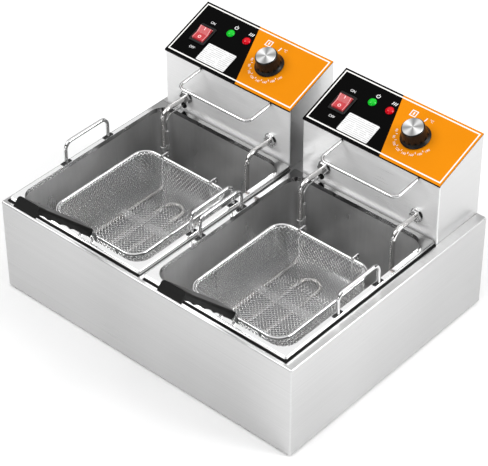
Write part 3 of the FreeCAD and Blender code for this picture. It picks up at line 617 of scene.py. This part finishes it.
def printed_panel(side):
    finish = Finish("printed_panel_" + side, specular_ior_level=0.03)
    width, length = panel_size(side)
    spot = finish.place()
    u, s, out = (on_panel(finish, side, axis) for axis in range(3))
    slant = u + s * slant_lean > slant_foot
    # painted shade on the panel's cut edge
    edge_shade = out < -0.1 * mm
    to_side = finish.maths("MINIMUM", u, width - u)
    to_end = finish.maths("MINIMUM", s, length - s)
    line = abs(finish.maths("MINIMUM", to_side, to_end) - line_at) < line_w / 2
    mottle = finish.noise(spot, 500.0, 3.0)
    wash = finish.noise(spot, 12.0, 2.0)
    bright = finish.blend(wash, [c * 0.94 for c in orange], [c * 1.06 for c in orange])
    face = finish.blend(line, finish.blend(slant, ink_black, bright), ink_white)
    finish.feed({"Base Color": finish.blend(edge_shade, face, 0.01),
                 "Roughness": mottle * 0.06 + wash * 0.08 + 0.30,
                 "Normal": finish.relief(mottle + line * 0.5, 0.03, 0.0002)})
    return finish


ink_finish = Finish("white_ink")
ink_mottle = ink_finish.noise(ink_finish.place(), 900.0, 2.0)
ink_finish.feed({"Base Color": ink_finish.blend(ink_mottle, 0.78, 0.92),
                 "Roughness": ink_mottle * 0.1 + 0.4})


def on_head(made, side):
    """Gives a printed piece its ink and lets it move with the head."""
    wear(made, finish=ink_finish)
    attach(made, "head_" + side)


def printed(side, name, flats):
    """Thin printed shapes on the panel; flats are lists of (across, up) outlines."""
    shape = bmesh.new()
    for outline in flats:
        face = shape.faces.new([shape.verts.new((x, y, ink_t)) for x, y in outline])
        base = bmesh.ops.extrude_face_region(shape, geom=[face])
        for item in base["geom"]:
            if isinstance(item, bmesh.types.BMVert):
                item.co.z = 0.0
    made = put_shape(name, shape)
    made.matrix_world = panel_frame(side)
    on_head(made, side)


def word(side, name, text, size, across, up, turn=0.0):
    """Generic printed figures, as a thin solid."""
    font = bpy.data.curves.new(name, "FONT")
    font.body, font.size, font.extrude = text, size, ink_t / 2
    font.align_x, font.align_y = "CENTER", "CENTER"
    curve = put(name, font)
    graph = bpy.context.evaluated_depsgraph_get()
    solid = bpy.data.meshes.new_from_object(curve.evaluated_get(graph))
    bpy.data.objects.remove(curve)
    made = put(name, solid)
    made.matrix_world = (panel_frame(side) @ Matrix.Translation((across, up, ink_t / 2))
                         @ Matrix.Rotation(turn, 4, "Z"))
    on_head(made, side)


def bar(x, y, length, width, turn):
    """Outline of a short bar centred at x, y."""
    c, s = math.cos(turn), math.sin(turn)
    corners = ((-length / 2, -width / 2), (length / 2, -width / 2),
               (length / 2, width / 2), (-length / 2, width / 2))
    return [(x + a * c - b * s, y + a * s + b * c) for a, b in corners]


def frame_of_bars(x, y, across, width):
    """Outlines of the four bars of a square frame centred at x, y."""
    half = (across - width) / 2
    return ([bar(x, y + way * half, across, width, 0.0) for way in (-1, 1)]
            + [bar(x + way * half, y, across - 2 * width, width, math.pi / 2) for way in (-1, 1)])


def open_ring(x, y, outer, inner):
    """Outline of a ring that is open at the top."""
    first, sweep, steps = 125, 290, 16
    turns = [math.radians(first + i * sweep / steps) for i in range(steps + 1)]
    return ([(x + outer * math.cos(a), y + outer * math.sin(a)) for a in turns]
            + [(x + inner * math.cos(a), y + inner * math.sin(a)) for a in reversed(turns)])


dial_r = 32.0 * mm
dial_from, dial_to = 186.0, 338.0
dial_figures = ("60", "80", "100", "120", "140", "160", "180", "190")
tick_r = dial_r - 3.0 * mm
sign_at = (141.0 * mm, 85.0 * mm)
power_at = (76.0 * mm, 85.0 * mm)
heat_at = (106.0 * mm, 85.5 * mm)
for side in sides:
    wear(nodes["control_panel_" + side], finish=printed_panel(side))
    marks = []
    gaps = len(dial_figures) - 1
    for i, figure in enumerate(dial_figures):
        a = math.radians(dial_from + (dial_to - dial_from) * i / gaps)
        word(side, f"dial_{figure}_{side}", figure, 5.2 * mm,
             knob_at[0] + dial_r * math.cos(a), knob_at[1] + dial_r * math.sin(a), a + math.pi / 2)
        if i < gaps:
            a += math.radians((dial_to - dial_from) / gaps / 2)
            marks.append(bar(knob_at[0] + tick_r * math.cos(a),
                             knob_at[1] + tick_r * math.sin(a), 3.0 * mm, 1.0 * mm, a))
    # the line that the knob is read against
    marks.append(bar(knob_at[0] - 5 * mm, knob_at[1] + 32 * mm, 7.0 * mm, 1.8 * mm,
                     math.radians(80)))
    # a square sign above the knob, with a bar in it
    marks += frame_of_bars(*sign_at, 11.0 * mm, 1.5 * mm)
    marks.append(bar(*sign_at, 5.0 * mm, 2.2 * mm, math.pi / 2))
    # a ring and stem over the green lamp, three bars over the red one
    marks.append(open_ring(*power_at, 3.4 * mm, 2.3 * mm))
    marks.append(bar(power_at[0], power_at[1] + 2.4 * mm, 3.4 * mm, 1.1 * mm, math.pi / 2))
    marks += [bar(heat_at[0] + 3.2 * i * mm, heat_at[1], 5.4 * mm, 1.4 * mm, math.radians(75))
              for i in (-1, 0, 1)]
    word(side, "dial_unit_" + side, "°C", 6.0 * mm, knob_at[0] + 4 * mm, knob_at[1] + 33.5 * mm)
    printed(side, "dial_marks_" + side, marks)
    word(side, "switch_on_" + side, "ON", 6.0 * mm, switch_at[0], switch_at[1] + 25.5 * mm)
    word(side, "switch_off_" + side, "OFF", 6.0 * mm, switch_at[0], switch_at[1] - 27.0 * mm)

rule_pitch = 3.0 * mm
label_finish = Finish("label_plate")
label_spot = label_finish.place()
label_fibre = label_finish.noise(label_spot, 600.0, 3.0)
label_rules = label_finish.maths("SINE", label_spot.part("Y") * (2 * math.pi / rule_pitch)) > 0.2
label_breaks = label_finish.noise(label_spot, 160.0, 1.0) > 0.42
label_paper = label_finish.blend(label_fibre, 0.78, 0.88)
label_finish.feed({"Base Color": label_finish.blend(label_rules * label_breaks, label_paper, 0.58),
                   "Roughness": label_fibre * 0.1 + 0.4})
for side in sides:
    wear(nodes["label_plate_" + side], finish=label_finish)


# ---- Switches, lamps and knobs -------------------------------------------------------
# Bought-in controls: a black switch bezel with a clear red rocker, domed lamp lenses, and a
# skirted black knob with a spun aluminium disc pressed into its top.

pale_mark = (0.85, 0.60, 0.60)
rocker_dark, rocker_bright = (0.36, 0.024, 0.03), (0.54, 0.05, 0.06)

plastic_finish = Finish("black_moulding", specular_ior_level=0.22)
pebble = plastic_finish.noise(plastic_finish.place(), 1100.0, 3.0)
plastic_finish.feed({"Base Color": plastic_finish.blend(pebble, 0.004, 0.010),
                     "Roughness": pebble * 0.14 + 0.26,
                     "Normal": plastic_finish.relief(pebble, 0.08, 0.0002)})


def clear_plastic(name, dark, bright, painted_glow, marked=None):
    """Tinted see-through plastic, with painted light: brighter in random facets, and with a faint
    painted glow; marked finds its pale marks.
    """
    finish = Finish(name, specular_ior_level=0.25)
    facets = finish.noise(finish.place(), 260.0)
    tint = finish.blend(facets, dark, bright)
    face = finish.blend(marked(finish), tint, pale_mark) if marked else tint
    finish.feed({"Base Color": face, "Roughness": facets * 0.12 + 0.08,
                 "Emission Color": tint, "Emission Strength": painted_glow,
                 "Normal": finish.relief(facets, 0.1, 0.0006)})
    return finish


def rocker_marks(finish, side):
    """A bar at the ON end, a ring at the OFF end and faint lines along the edges."""
    across, up = (on_panel(finish, side, axis) - switch_at[axis] for axis in (0, 1))
    stem = (abs(across) < 0.7 * mm) * (abs(up - 7.5 * mm) < 2.2 * mm)
    from_ring = (across ** 2.0 + (up + 7.0 * mm) ** 2.0) ** 0.5 - 2.2 * mm
    lip = (abs(abs(across) - 9.6 * mm) < 0.5 * mm) + (abs(up - 12.0 * mm) < 0.7 * mm)
    return finish.node("ShaderNodeClamp", {}, {0: stem + (abs(from_ring) < 0.6 * mm) + lip * 0.5})


# the lenses and the rocker carry a faint painted glow
green_finish = clear_plastic("lens_green", (0.002, 0.34, 0.012), (0.005, 0.50, 0.025), 0.30)
red_finish = clear_plastic("lens_red", (0.42, 0.001, 0.006), (0.60, 0.002, 0.012), 0.25)
reset_finish = clear_plastic("reset_red", (0.30, 0.01, 0.008), (0.45, 0.02, 0.015), 0.0)


def spun_disc(side):
    """Spun aluminium: light and dark rays of painted highlight that meet at the centre, over fine
    rings.
    """
    finish = Finish("spun_disc_" + side, metallic=1.0)
    across, up = (on_panel(finish, side, axis) - knob_at[axis] for axis in (0, 1))
    turn = finish.maths("ARCTAN2", up, across)
    # painted highlight: light and dark rays across the disc
    painted_rays = finish.maths("COSINE", turn * 4.0 + 0.9)
    slow = finish.maths("COSINE", turn * 2.0 + 0.3)
    radius = (across ** 2.0 + up ** 2.0) ** 0.5
    rings = finish.maths("SINE", radius * 14000.0)
    light = painted_rays * 0.38 + slow * 0.16 + 0.5
    finish.feed({"Base Color": finish.blend(light, 0.22, 0.90), "Roughness": rings * 0.03 + 0.34,
                 "Normal": finish.relief(rings, 0.04, 0.0001)})
    return finish


for side in sides:
    wear(nodes["switch_bezel_" + side], nodes["knob_" + side], nodes["cable_gland_" + side],
         nodes["thermostat_" + side], finish=plastic_finish)
    rocker_finish = clear_plastic("rocker_red_" + side, rocker_dark, rocker_bright, 0.15,
                                  lambda finish: rocker_marks(finish, side))
    wear(nodes["rocker_" + side], finish=rocker_finish)
    wear(nodes["lamp_green_" + side], finish=green_finish)
    wear(nodes["lamp_red_" + side], finish=red_finish)
    wear(nodes["reset_button_" + side], finish=reset_finish)
    wear(nodes["knob_cap_" + side], finish=spun_disc(side))
    wear(nodes["thermostat_shaft_" + side], finish=screw_finish)


# ---- Studio --------------------------------------------------------------------------
# A pale floor under a sky that is dark at the horizon and bright above it, and three soft
# lamps: the key above the left front, one at the right rear and a weak one low in front.

floor_half = 12.0
floor_data = bpy.data.meshes.new("studio_floor")
floor_data.from_pydata([(x * floor_half, y * floor_half, 0)
                        for x, y in ((-1, -1), (1, -1), (1, 1), (-1, 1))], [], [(0, 1, 2, 3)])
floor = put("studio_floor", floor_data)
floor_finish = Finish("floor_paper", roughness=0.9)
paper = floor_finish.noise(floor_finish.place(), 3.0)
floor_finish.feed({"Base Color": floor_finish.blend(paper, 0.92, 0.94)})
wear(floor, finish=floor_finish)

sky_stops = [(0.0, 0.03), (0.02, 0.03), (0.50, 0.04), (0.59, 1.0), (1.0, 1.0)]
world = bpy.data.worlds.new("studio")
bpy.context.scene.world = world
world.use_nodes = True
sky = Wiring(world.node_tree)
height = sky.node("ShaderNodeTexCoord", {}, {}, "Generated").part("Z")
light = sky.tree.nodes["Background"]
sky.join(light.inputs["Color"], sky.node("ShaderNodeValToRGB", {"stops": sky_stops}, {0: height}))
light.inputs["Strength"].default_value = 1.05


def lamp(name, place, aim, size, power):
    data = bpy.data.lights.new(name, "AREA")
    data.shape, data.size, data.size_y, data.energy = "RECTANGLE", size[0], size[1], power
    made = put(name, data)
    made.location = place
    made.rotation_euler = (Vector(aim) - Vector(place)).to_track_quat("-Z", "Y").to_euler()


lamp("key_softbox", (-1.6, -1.4, 2.6), (0, 0, 0.1), (1.6, 1.6), 40)
lamp("side_softbox", (2.4, 1.2, 1.6), (1.0, 1.0, 0.0), (1.6, 1.6), 60)
lamp("front_softbox", (0.3, -2.6, 0.9), (0.0, 0.1, 0.2), (1.2, 0.6), 10)


# ---- Camera --------------------------------------------------------------------------
# A long lens, about three metres from the machine, looks down on its right front corner.
# The back vector runs from the point looked at to the lens.

aim = Vector((-9.5 * mm, 53.4 * mm, 103 * mm))
azimuth, elevation, roll = math.radians(41.48), math.radians(38.81), math.radians(-0.18)
distance = 3.0604
back = Vector((math.sin(azimuth) * math.cos(elevation),
               -math.cos(azimuth) * math.cos(elevation),
               math.sin(elevation)))
right = Vector((0, 0, 1)).cross(back).normalized()
up = back.cross(right)
right, up = (right * math.cos(roll) + up * math.sin(roll),
             up * math.cos(roll) - right * math.sin(roll))
camera_data = bpy.data.cameras.new("camera")
camera_data.sensor_width = 36.0
camera_data.lens = 151.9
camera_data.clip_end = 50.0
camera = put("camera", camera_data)
turn = Matrix((right, up, back)).transposed().to_4x4()
camera.matrix_world = Matrix.Translation(aim + back * distance) @ turn
bpy.context.scene.camera = camera
bpy.context.scene.view_settings.view_transform = "Standard"
